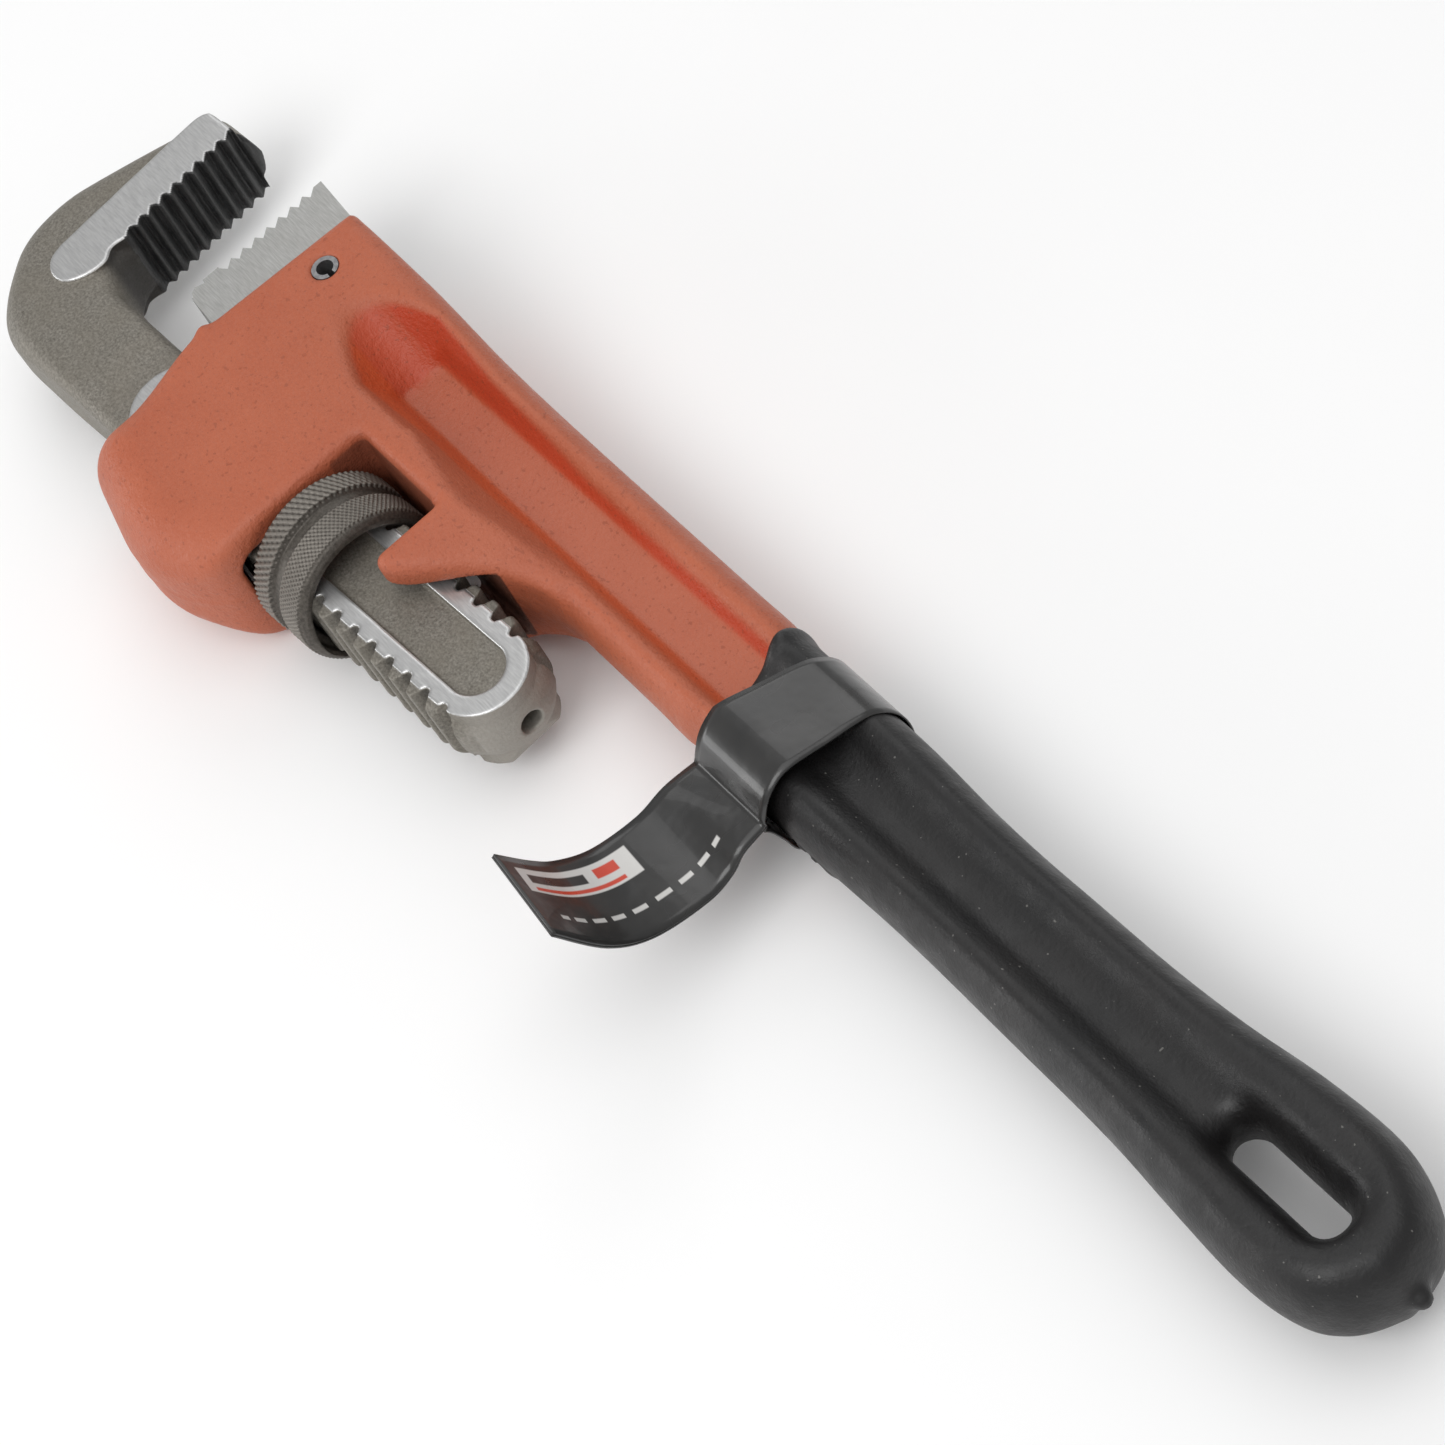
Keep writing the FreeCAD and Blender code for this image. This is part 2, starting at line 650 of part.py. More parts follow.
def build_tag():
    """Card strip looped round the grip, its doubled end curling up beside it."""
    body = new_body("hang_tag")
    sketch = new_sketch(body, "tag_loop", "YZ_Plane", lifted(size("tag_x") + 9.5))
    thick = size("tag_thick")
    side = 13.7
    face = 10.0
    corner = 5.0
    draw(sketch, (-8.5, face + thick), [
        (side - corner, face + thick),
        ((side - 1.2, face - 0.9), (side + thick, face - corner)),
        (side + thick, corner - face),
        ((side - 1.2, 0.9 - face), (side - corner, -face - thick)),
        (corner - side, -face - thick),
        ((1.2 - side, 0.9 - face), (-side - thick, corner - face)),
        (-side - thick, 2.6),
        ((-15.4, 3.4), (-17.5, 3.6)),
        ((-28.0, 2.6), (-37.5, 4.6)),
        ((-47.0, 11.6), (-51.8, 22.0)),
        (-51.8 + 1.2, 22.3),
        ((-46.1, 12.6), (-37.2, 6.0)),
        ((-28.0, 4.0), (-17.5, 5.0)),
        ((-13.4, 8.6), (-8.5, face + thick)),
    ])
    draw(sketch, (-8.2, face), [
        ((-11.6, 7.8), (-side, 3.0)),
        (-side, corner - face),
        ((1.7 - side, 1.4 - face), (corner - side, -face)),
        (side - corner, -face),
        ((side - 1.7, 1.4 - face), (side, corner - face)),
        (side, face - corner),
        ((side - 1.7, face - 1.4), (side - corner, face)),
    ])
    pad(body, sketch, "$tag_wide")
    place_in_handle_frame(body)
    return body


parts = [
    build_handle(), build_heel_jaw(), build_pin(), build_hook_jaw(), build_nut(),
    build_coil_spring(), build_flat_spring(), build_grip(), build_tag(),
]
doc.recompute()

for thing in doc.Objects:
    if "Invalid" in thing.State or "Error" in thing.State:
        raise ValueError("failed: " + thing.Name)

os.makedirs("parts", exist_ok=True)
for part in parts:
    if part.Shape.isNull() or not part.Shape.isValid():
        raise ValueError("bad shape: " + part.Label)
    part.Shape.exportStep("parts/%s.step" % part.Label)
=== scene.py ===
import json
import math

import bpy
import numpy as np
from mathutils import Matrix, Vector


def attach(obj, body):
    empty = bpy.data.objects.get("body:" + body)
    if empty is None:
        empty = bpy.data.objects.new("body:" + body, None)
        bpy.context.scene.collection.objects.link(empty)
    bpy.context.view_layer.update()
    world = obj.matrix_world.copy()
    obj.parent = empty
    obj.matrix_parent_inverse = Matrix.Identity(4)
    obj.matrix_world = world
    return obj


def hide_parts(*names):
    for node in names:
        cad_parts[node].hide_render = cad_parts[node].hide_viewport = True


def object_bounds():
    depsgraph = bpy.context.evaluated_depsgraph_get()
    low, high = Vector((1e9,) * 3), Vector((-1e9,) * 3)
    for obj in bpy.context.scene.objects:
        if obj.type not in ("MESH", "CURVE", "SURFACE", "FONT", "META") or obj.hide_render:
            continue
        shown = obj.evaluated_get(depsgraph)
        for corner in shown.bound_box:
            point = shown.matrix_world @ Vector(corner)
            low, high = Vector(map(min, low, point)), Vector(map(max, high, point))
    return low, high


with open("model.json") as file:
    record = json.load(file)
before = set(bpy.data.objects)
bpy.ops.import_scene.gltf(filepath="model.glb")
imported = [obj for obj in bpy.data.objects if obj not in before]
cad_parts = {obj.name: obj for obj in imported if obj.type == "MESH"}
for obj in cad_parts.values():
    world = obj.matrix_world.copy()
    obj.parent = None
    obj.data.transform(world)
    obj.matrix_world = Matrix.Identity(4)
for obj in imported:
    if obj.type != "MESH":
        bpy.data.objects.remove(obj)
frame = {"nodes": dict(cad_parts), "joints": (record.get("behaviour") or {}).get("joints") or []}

CAD_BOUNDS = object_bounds()
MM = 0.001


# --- the two drawing frames, read from the joints ----------------------------------------------

joints = {joint["name"]: joint for joint in frame["joints"]}
nut_joint = joints["nut_spin"]
SHANK_TILT = math.atan2(nut_joint["axis"][1], nut_joint["axis"][0])
SHANK_ORIGIN = Vector(nut_joint["pos_m"])
HANDLE_ABOVE_SHANK = 31.6 * MM

SHANK_FRAME = Matrix.Translation(SHANK_ORIGIN) @ Matrix.Rotation(SHANK_TILT, 4, "Z")
HANDLE_FRAME = Matrix.Translation(SHANK_ORIGIN + Vector((0.0, HANDLE_ABOVE_SHANK, 0.0)))


# --- shape tools: fields are negative inside, lengths in millimetres -----------------------------

def smoothstep(low, high, value):
    t = np.clip((value - low) / (high - low), 0.0, 1.0)
    return t * t * (3.0 - 2.0 * t)


def round_max(a, b, radius):
    """Larger of two fields with the edge between them rounded."""
    gap = np.maximum(radius - np.abs(a - b), 0.0)
    return np.maximum(a, b) + gap * gap / (4.0 * radius)


def round_min(a, b, radius):
    """Smaller of two fields with the corner between them filled."""
    return -round_max(-a, -b, radius)


def box_2d(x, y, left, low, right, high, corner=0.0):
    """Field of a rectangle with rounded corners."""
    qx = np.abs(x - 0.5 * (left + right)) - 0.5 * (right - left) + corner
    qy = np.abs(y - 0.5 * (low + high)) - 0.5 * (high - low) + corner
    outside = np.hypot(np.maximum(qx, 0.0), np.maximum(qy, 0.0))
    return outside + np.minimum(np.maximum(qx, qy), 0.0) - corner


def slot_2d(x, y, left, right, half):
    """Field of a slot with round ends."""
    middle = np.clip(x, left + half, right - half)
    return np.hypot(x - middle, y) - half


def polygon_2d(x, y, points):
    """Signed distance to a closed outline."""
    best = np.full(np.broadcast(x, y).shape, 1e9)
    inside = np.zeros(best.shape, bool)
    for (ax, ay), (bx, by) in zip(points, points[1:] + points[:1]):
        ex, ey = bx - ax, by - ay
        if abs(ex) + abs(ey) < 1e-6:
            continue
        t = np.clip(((x - ax) * ex + (y - ay) * ey) / (ex * ex + ey * ey), 0.0, 1.0)
        best = np.minimum(best, (x - ax - t * ex) ** 2 + (y - ay - t * ey) ** 2)
        crosses = (ay > y) != (by > y)
        if ey != 0.0:
            inside ^= crosses & (x < ax + (y - ay) * ex / ey)
    distance = np.sqrt(best)
    return np.where(inside, -distance, distance)


def arc_points(centre, radius, first, last, count=16):
    """Points along an arc, angles in degrees."""
    angles = np.radians(np.linspace(first, last, count))
    return [(centre[0] + radius * math.cos(a), centre[1] + radius * math.sin(a)) for a in angles]


def smooth_path(points, per_span=8):
    """Points along a Catmull-Rom curve through the given points."""
    padded = [points[0]] + list(points) + [points[-1]]
    path = []
    for p0, p1, p2, p3 in zip(padded, padded[1:], padded[2:], padded[3:]):
        p0, p1, p2, p3 = (np.array(p, float) for p in (p0, p1, p2, p3))
        for t in np.linspace(0.0, 1.0, per_span, endpoint=False):
            path.append(tuple(0.5 * (2.0 * p1 + (p2 - p0) * t
                                     + (2.0 * p0 - 5.0 * p1 + 4.0 * p2 - p3) * t * t
                                     + (3.0 * p1 - p0 - 3.0 * p2 + p3) * t ** 3)))
    path.append(tuple(points[-1]))
    return path


def rounded_plate(plan, z, half, radius):
    """A plan outline given thickness, its edges rounded."""
    qa = plan + radius
    qb = np.abs(z) - half + radius
    outside = np.hypot(np.maximum(qa, 0.0), np.maximum(qb, 0.0))
    return outside + np.minimum(np.maximum(qa, qb), 0.0) - radius


class Grid:
    """A block of sample points, in millimetres."""

    def __init__(self, low, high, step):
        self.low = np.array(low, float)
        self.step = step
        axes = [np.arange(a, b + step, step, dtype=np.float32) for a, b in zip(low, high)]
        self.x = axes[0][:, None, None]
        self.y = axes[1][None, :, None]
        self.z = axes[2][None, None, :]

    def mesh(self, name, field, place):
        """Surface net of the field's zero level as a smooth-shaded object, in metres."""
        inside = field < 0.0
        cells = tuple(n - 1 for n in field.shape)
        total = np.zeros(cells + (3,), np.float32)
        count = np.zeros(cells, np.float32)

        def part(shift):
            return tuple(slice(s, s + n) for s, n in zip(shift, cells))

        for axis in range(3):
            others = [a for a in range(3) if a != axis]
            for u in (0, 1):
                for v in (0, 1):
                    start = [0, 0, 0]
                    start[others[0]], start[others[1]] = u, v
                    end = list(start)
                    end[axis] = 1
                    a, b = field[part(start)], field[part(end)]
                    hit = inside[part(start)] != inside[part(end)]
                    ta = np.where(hit, a / np.where(hit, a - b, 1.0), 0.0)
                    total[..., axis] += ta
                    total[..., others[0]] += hit * u
                    total[..., others[1]] += hit * v
                    count += hit
        used = count > 0
        index = np.full(cells, -1, np.int64)
        index[used] = np.arange(int(used.sum()))
        corner = np.argwhere(used)
        points = self.low + self.step * (corner + total[used] / count[used][:, None])
        quads = []
        for axis in range(3):
            b_axis, c_axis = [(1, 2), (2, 0), (0, 1)][axis]
            first = [slice(None)] * 3
            second = [slice(None)] * 3
            first[axis], second[axis] = slice(0, -1), slice(1, None)
            for other in (b_axis, c_axis):
                first[other] = second[other] = slice(1, -1)
            one, two = inside[tuple(first)], inside[tuple(second)]
            at = np.argwhere(one != two)
            base = at.copy()
            base[:, b_axis] += 1
            base[:, c_axis] += 1
            ring = []
            for du, dv in ((-1, -1), (0, -1), (0, 0), (-1, 0)):
                cell = base.copy()
                cell[:, b_axis] += du
                cell[:, c_axis] += dv
                ring.append(index[tuple(cell.T)])
            ring = np.stack(ring, 1)
            flip = two[tuple(at.T)]
            ring[flip] = ring[flip][:, ::-1]
            quads.append(ring)
        quads = np.concatenate(quads)
        return build_mesh(name, points, quads, place)


def build_mesh(name, points, quads, place):
    """Object from millimetre points in a drawing frame and quads or triangles."""
    matrix = np.array(place)
    moved = points * MM @ matrix[:3, :3].T + matrix[:3, 3]
    mesh = bpy.data.meshes.new(name)
    sides = quads.shape[1]
    mesh.vertices.add(len(moved))
    mesh.vertices.foreach_set("co", moved.astype(np.float32).ravel())
    mesh.loops.add(quads.size)
    mesh.loops.foreach_set("vertex_index", quads.astype(np.int32).ravel())
    mesh.polygons.add(len(quads))
    mesh.polygons.foreach_set("loop_start", np.arange(0, quads.size, sides, dtype=np.int32))
    mesh.polygons.foreach_set("use_smooth", np.ones(len(quads), bool))
    mesh.update(calc_edges=True)
    thing = bpy.data.objects.new(name, mesh)
    bpy.context.scene.collection.objects.link(thing)
    return thing


# --- handle casting and vinyl grip, in the handle's frame ---------------------------------------

HOUSING_HALF = 15.0
BEAM_HALF = 8.2
WEB_HALF = 4.0
RIM_CREST = 5.0
RECESS_START, RECESS_END, RECESS_HALF = -12.5, 231.0, 4.7
WINDOW_HEAD, WINDOW_TAIL, WINDOW_TOP = -3.4, 19.4, -15.3
CHANNEL_HALF = 9.0
PIN_X, PIN_Y, PIN_RADIUS = -38.0, 1.6, 2.6
SPRING_X, SPRING_BORE = -14.0, 4.3
VINYL = 1.0
VINYL_OVER_BEAM = 9.2
HANG_SLOT = (204.5, 228.2, 3.1)

MOUTH_EDGE = [(-60, 12.6), (60, 12.6), (78, 12.7), (89, 12.6), (102, 12.8), (118, 12.7), (134, 11.9),
              (147, 11.75), (159, 12.0), (177, 12.4), (193, 13.5), (208, 15.3), (222, 16.0),
              (230, 14.8), (237, 11.6), (241, 7.4), (242.8, 0.4)]
BACK_EDGE = [(242.8, 0.4), (242, -3.2), (240, -7.4), (237.4, -10.5), (233.5, -13.1), (227, -14.7),
             (218, -15.1), (204, -14.2), (188, -13.0), (164, -12.5), (137, -12.1), (112, -12.7),
             (80, -12.7), (60, -12.4), (-60, -12.4)]
HANDLE_PLAN = smooth_path(MOUTH_EDGE + BACK_EDGE[1:], 4)


def beam(x, y, z, inset, crest, half):
    """Handle bar with full-round rims; crest is how far the rim's top lies in from the side."""
    depth = -polygon_2d(x, y, HANDLE_PLAN) - inset
    u = np.maximum(crest - depth, 0.0) / crest
    w = np.abs(z) / half
    length = np.sqrt(u * u + w * w) + 1e-6
    slope = np.sqrt((u / crest) ** 2 + (w / half) ** 2) + 1e-6
    return length * (length - 1.0) / slope


def recess(x, y, z, floor, narrow):
    """Room cut between the rims on both faces, with a fingertip-shaped run-out in the head."""
    side = RECESS_HALF - narrow
    web = box_2d(x, y, RECESS_START, -side, RECESS_END - narrow, side, 2.0 + 1.2 * narrow)
    steep = 1.45 + 1.3 * (1.0 - smoothstep(-5.0, 26.0, x))
    soft = 0.7 + 1.6 * narrow
    wall = floor + 0.5 * steep * (web + np.sqrt(web * web + soft * soft))
    run_out = floor + 0.71 * np.maximum(RECESS_START - x, 0.0) + 0.12 * y * y + 40.0 * (x > 3.0)
    height = np.minimum(wall, run_out)
    return (height - np.abs(z)) * 0.6


HEAD_SIDE = [(-44.6, 12.6), (-45.2, 11.8), (-47.2, -25.0), (-47.2, -44.5)]
LOBE_SMALL = arc_points((-38.2, -44.5), 9.0, 180.0, 255.8, 8)
LOBE_LARGE = arc_points((-22.5, -33.0), 24.0, 255.8, 360.0, 20)
HEAD_PLAN = HEAD_SIDE + LOBE_SMALL + LOBE_LARGE + [(20.0, -30.0), (47.0, -12.5), (47.0, 12.6)]
SPUR_PLAN = smooth_path([(47.0, -11.6), (42.0, -13.2), (39.2, -14.6), (36.8, -16.0), (32.8, -19.7),
                         (28.7, -24.5), (25.6, -27.7), (23.0, -29.4), (21.3, -29.7)], 4)
SPUR_PLAN += [(20.2, -29.4), (WINDOW_TAIL, -28.2), (WINDOW_TAIL, -16.0), (6.0, -16.0),
              (6.0, -8.0), (47.0, -8.0)]


def casting(x, y, z):
    """Whole handle casting."""
    depth = np.abs(z)
    lobe = smoothstep(-21.0, -42.0, y) * smoothstep(12.0, 4.0, x)
    edge = 3.0 + 8.0 * lobe * (0.25 + 0.75 * smoothstep(0.0, -14.0, x))
    edge = edge + 4.0 * smoothstep(-42.0, -2.0, x) * smoothstep(0.0, 8.0, y)
    outline = polygon_2d(x, y, HEAD_PLAN)
    head = rounded_plate(outline, z, HOUSING_HALF, edge)
    bar = beam(x, y, z, VINYL * smoothstep(80.0, 86.0, x), RIM_CREST, BEAM_HALF)
    mouth_mix = smoothstep(-22.0, 34.0, x)
    back_mix = smoothstep(21.0, 48.0, x)
    mix = back_mix + (mouth_mix - back_mix) * smoothstep(-5.0, 5.0, y)
    head = round_max(head, -(y + 12.5) - 60.0 * (x < 19.0), 1.0)
    body = head * (1.0 - mix) + bar * mix
    spur_half = HOUSING_HALF - 6.6 * smoothstep(21.0, 48.0, x)
    spur = rounded_plate(polygon_2d(x, y, SPUR_PLAN), z, spur_half, 2.4)
    body = round_min(body, spur, 2.0)
    body = round_max(body, -recess(x, y, z, WEB_HALF, 0.0), 1.6)
    seam = 0.16 * np.exp(-((z / 0.7) ** 2)) * (y < -20.0)
    knob = 0.9 * np.exp(-((x + 47.0) ** 2 + (y + 21.3) ** 2) / 3.0) * smoothstep(8.0, 10.0, depth)
    body = body - seam - knob
    window = box_2d(x, y, WINDOW_HEAD, -90.0, WINDOW_TAIL, WINDOW_TOP, 1.6)
    body = round_max(body, -window, 2.6)
    spring_room = np.maximum(box_2d(y, z, -47.4, -CHANNEL_HALF, -20.7, CHANNEL_HALF, 1.5), x + 12.0)
    channel = np.maximum(box_2d(y, z, -45.4, -CHANNEL_HALF, -20.7, CHANNEL_HALF, 3.8), x + 2.4)
    tail = np.maximum(box_2d(y, z, -60.0, -CHANNEL_HALF, -16.4, CHANNEL_HALF, 0.8), 18.0 - x)
    insert = np.maximum(box_2d(y, z, -18.9, -8.8, 30.0, 8.8, 0.4), x + 25.0)
    pin = np.hypot(x - PIN_X, y - PIN_Y) - PIN_RADIUS
    spring = np.maximum(np.hypot(x - SPRING_X, z) - SPRING_BORE, np.abs(y + 16.6) - 5.0)
    for hollow in (np.minimum(spring_room, channel), tail, insert, pin):
        body = round_max(body, -hollow, 0.8)
    slot_hole = slot_2d(x, y, 198.0, 233.0, 8.0)
    return np.maximum(np.maximum(body, -spring), -slot_hole)


def dip_line(y, z):
    """Where along the handle the dipped vinyl starts."""
    low_corner = smoothstep(1.0, -4.0, z) * smoothstep(-3.0, -11.0, y)
    return 85.6 - 0.24 * y + 27.0 * low_corner


def grip(x, y, z):
    """Dipped vinyl over the handle, hollow where the casting is."""
    start = dip_line(y, z)
    swell = 0.45 * np.exp(-(((x - start - 1.6) / 1.7) ** 2))
    wide = 1.0 + 0.05 * smoothstep(190.0, 215.0, x)
    body = beam(x, y, z, 0.0, 5.9, VINYL_OVER_BEAM * wide) - swell
    body = round_max(body, -(recess(x, y, z, WEB_HALF + VINYL, 0.9) + 0.7 * swell), 2.4)
    along = np.clip(x, 236.0, 243.4)
    nub = np.sqrt((x - along) ** 2 + (y - 1.1) ** 2 + z * z) - (3.9 - 0.3 * (along - 236.0))
    body = round_min(body, nub, 1.8)
    hole = slot_2d(x, y, *HANG_SLOT)
    body = round_max(body, -hole, 4.6)
    body = round_max(body, start - x, 1.1)
    core = beam(x, y, z, VINYL, RIM_CREST, BEAM_HALF)
    core = round_max(core, -recess(x, y, z, WEB_HALF, 0.0), 1.6)
    core = np.maximum(core, -(hole - 5.4))
    return np.maximum(body, -(core - 0.06))


# --- hook jaw and adjusting nut, in the shank's frame --------------------------------------------

SHANK_HALF = 10.8
SHANK_END = 58.0
FORGING_HALF = 7.9
SHANK_FLAT = 7.3
RIM_LEFT, RIM_RIGHT, RIM_HALF, RIM_TOP = -52.0, 56.87, 8.89, 7.7
POCKET_HALF = 5.2
BAR_TOP = 8.7
THREAD_ROOT = 7.9
PITCH = 5.08
FIRST_VALLEY = 18.56
THREAD_LEAN = 0.0725
BACK_OF_HOOK = [(-91.0, 47.8), (-92.6, 46.2), (-96.3, 39.7), (-101.9, 23.5), (-103.7, 16.0),
                (-103.5, 8.6), (-101.8, 3.0), (-98.7, -1.5), (-94.6, -6.0), (-90.0, -9.3),
                (-84.2, -10.8), (-76.3, -10.9), (-60.0, -10.7), (-40.0, -10.8)]
THROAT = [(-40.0, 8.6), (-62.0, 8.6), (-66.5, 8.8), (-72.5, 9.0), (-76.3, 10.4),
          (-79.5, 13.6), (-81.3, 18.4)]
FORGING_PLAN = smooth_path(BACK_OF_HOOK, 6) + smooth_path(THROAT, 5) + [(-82.9, 45.2), (-82.9, 47.8)]
BAR_PLAN = smooth_path([(-82.6, 45.4), (-89.8, 45.3), (-91.6, 44.5), (-92.4, 42.2), (-92.4, 37.0),
                        (-91.6, 12.0), (-91.3, 7.6), (-90.2, 4.9), (-87.6, 3.3), (-84.6, 3.4),
                        (-82.4, 5.2), (-80.9, 8.4), (-80.6, 11.6), (-82.2, 14.2), (-81.6, 17.4)], 4)
TOOTH_PITCH = 2.82
TOOTH_DEPTH = 1.55
TOOTH_STEEP = 0.97
TOOTH_COUNT = 10


def tooth_cutter():
    """Closed outline of the grooves of the hook's mouth side."""
    tilt = math.radians(2.8)
    points = [(1.2, 0.0)]
    for number in range(TOOTH_COUNT):
        top = -number * TOOTH_PITCH
        points += [(0.0, top), (-TOOTH_DEPTH, top - TOOTH_STEEP)]
    last = -TOOTH_COUNT * TOOTH_PITCH
    points += [(0.0, last), (1.2, last)]
    turned = []
    for px, py in points:
        turned.append((-82.78 + px * math.cos(tilt) - py * math.sin(tilt),
                       45.68 + px * math.sin(tilt) + py * math.cos(tilt)))
    return turned


TEETH = tooth_cutter()
SHANK_PLAN = [(-48.0, -SHANK_HALF), (48.5, -SHANK_HALF)]
SHANK_PLAN += smooth_path([(52.0, -9.7), (55.4, -7.0), (57.4, -3.6), (SHANK_END, 0.0),
                           (57.4, 3.6), (55.4, 7.0), (52.0, 9.7)], 4)
SHANK_PLAN += [(48.5, SHANK_HALF), (-45.0, SHANK_HALF), (-48.0, 8.9)]


def thread_root(x, z, side):
    """How far from the shank's axis the thread's surface lies on one narrow side."""
    centre = FIRST_VALLEY + (0.5 * PITCH if side > 0 else 0.0)
    shift = x - side * THREAD_LEAN * z - centre
    away = np.abs(np.mod(shift + 0.5 * PITCH, PITCH) - 0.5 * PITCH)
    height = THREAD_ROOT + 3.4 * smoothstep(0.35, 2.25, away)
    return height + 6.0 * smoothstep(-40.0, -42.5, x)


def hook(x, y, z):
    """Forged hook with its ground bar, teeth, threaded shank and raised rim."""
    forging = polygon_2d(x, y, FORGING_PLAN)
    edge = 2.6 + 4.4 * smoothstep(-66.0, -93.0, x)
    body = rounded_plate(forging, z, FORGING_HALF - 0.7 * smoothstep(-63.0, -54.0, x), edge)
    shank_edge = 0.5 + 6.4 * smoothstep(42.0, 53.0, x)
    shank = rounded_plate(polygon_2d(x, y, SHANK_PLAN), z, SHANK_FLAT, shank_edge)
    rim = rounded_plate(slot_2d(x, y, RIM_LEFT, RIM_RIGHT, RIM_HALF), z, RIM_TOP, 0.25)
    for side in (-1.0, 1.0):
        outside_thread = 0.7 * (side * y - thread_root(x, z, side))
        shank = np.maximum(shank, outside_thread)
        rim = np.maximum(rim, outside_thread)
    body = np.minimum(round_min(body, shank, 1.2), rim)
    slanted_end = 0.9 * (x - SHANK_END + 0.45 * np.maximum(-z - 1.0, 0.0))
    body = np.maximum(body, slanted_end)
    pocket = rounded_plate(slot_2d(x, y, -48.5, 52.4, POCKET_HALF), np.abs(z) - 9.4, 3.0, 0.7)
    body = round_max(body, -pocket, 0.5)
    bar = rounded_plate(polygon_2d(x, y, BAR_PLAN), z, BAR_TOP, 0.25)
    body = round_min(body, bar, 0.5)
    draft = (y + 0.27 * np.abs(z) - 47.75) * 0.965
    body = round_max(body, draft, 0.8)
    body = np.maximum(body, -polygon_2d(x, y, TEETH))
    hole = np.maximum(np.hypot(y - 0.6, z) - 2.2, 46.0 - x)
    return round_max(body, -hole, 0.6)


HEAD_KNURLS = 38.0
TAIL_KNURLS = 50.0
NUT_BORE = 11.7
NUT_OUTLINE = [(-1.95, 10.0), (-1.95, 14.3), (-1.2, 15.1), (3.0, 15.1), (3.7, 14.0), (5.5, 14.0),
               (6.2, 14.9), (11.2, 14.9), (12.0, 14.3), (12.5, 13.5), (12.5, 10.0)]


def knurled_nut(x, y, z):
    """Ring with two knurled bands, a groove between them and a threaded bore."""
    radius = np.hypot(y, z)
    turn = np.arctan2(z, y)
    head = smoothstep(3.5, 3.0, x) * smoothstep(-1.9, -1.2, x)
    tail = smoothstep(5.9, 6.4, x) * smoothstep(11.9, 11.2, x)
    one = np.abs(np.sin(HEAD_KNURLS * turn + 1.5 * x))
    two = np.abs(np.sin(HEAD_KNURLS * turn - 1.5 * x))
    fine_one = np.abs(np.sin(TAIL_KNURLS * turn + 2.6 * x))
    fine_two = np.abs(np.sin(TAIL_KNURLS * turn - 2.6 * x))
    ridges = head * (0.36 * one + 0.14 * two - 0.4) + tail * (0.26 * fine_one + 0.26 * fine_two - 0.4)
    body = polygon_2d(x, radius, NUT_OUTLINE) - ridges * smoothstep(13.4, 14.2, radius)
    away = x - FIRST_VALLEY - PITCH * turn / (2.0 * math.pi)
    away = np.abs(np.mod(away + 0.5 * PITCH, PITCH) - 0.5 * PITCH)
    bore = NUT_BORE + 1.4 * smoothstep(1.7, 0.9, away)
    bore = bore + 0.7 * smoothstep(-0.9, -1.95, x) + 0.7 * smoothstep(11.6, 12.5, x)
    return np.maximum(body, 0.8 * (bore - radius))


# --- build the pieces -----------------------------------------------------------------------------


def made(name, grid, field, place, node, body):
    """Mesh of a field that stands for one CAD node."""
    thing = grid.mesh(name, field(grid.x, grid.y, grid.z), place)
    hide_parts(node)
    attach(thing, body)
    return thing


coarse = 1.0
handle = made("handle_casting", Grid((-48.6, -58.8, -16.0), (243.0, 14.4, 16.1), 0.5 * coarse),
              casting, HANDLE_FRAME, "handle", "handle_body")
sleeve = made("vinyl_grip", Grid((79.0, -17.2, -11.4), (246.2, 18.2, 11.5), 0.5 * coarse),
              grip, HANDLE_FRAME, "handle_grip", "handle_body")
hook_jaw = made("hook_forging", Grid((-105.4, -12.4, -9.6), (59.6, 49.0, 9.7), 0.3 * coarse),
                hook, SHANK_FRAME, "hook_jaw", "hook")
nut = made("nut_knurled", Grid((-2.9, -16.4, -16.4), (13.4, 16.5, 16.5), 0.17 * coarse),
           knurled_nut, SHANK_FRAME, "adjusting_nut", "nut")


# --- folded tag -----------------------------------------------------------------------------------

TAG_THICK = 0.35
TAG_WIDE = 19.0
FLAP_GAP = 0.42
# paths seen along the handle, as (across, up): the free flap's two edges and the loop round the grip
FLAP_HEAD = [(-15.5, 4.7), (-22.0, 5.3), (-28.5, 4.3), (-37.3, 6.0), (-43.1, 10.0),
             (-46.5, 14.5), (-50.6, 22.1)]
FLAP_TAIL = [(-15.0, 4.6), (-20.5, 3.6), (-24.0, 1.3), (-29.6, 0.4), (-39.7, 3.2),
             (-46.6, 9.6), (-52.6, 21.8)]
BAND = [(-15.3, 4.7), (-14.4, 6.4), (-12.4, 9.2), (-9.6, 11.0), (-6.4, 11.6), (0.0, 10.6),
        (5.6, 9.8), (8.8, 8.9), (11.2, 6.8), (12.8, 3.8), (13.4, 0.6), (13.2, -2.6),
        (12.0, -6.2), (8.8, -9.1), (5.0, -10.0), (-5.0, -10.0), (-9.4, -9.2), (-12.4, -6.2),
        (-13.6, -1.6), (-14.9, 2.4), (-16.2, 4.1)]
# where each long edge lies along the handle, at places across it
HEAD_EDGE_X = ([-53, -16, -8, 10, 14], [90.0, 89.4, 88.8, 92.8, 93.0])
TAIL_EDGE_X = ([-53, -16, -9, 10.6, 14], [109.0, 108.2, 107.8, 109.0, 109.0])


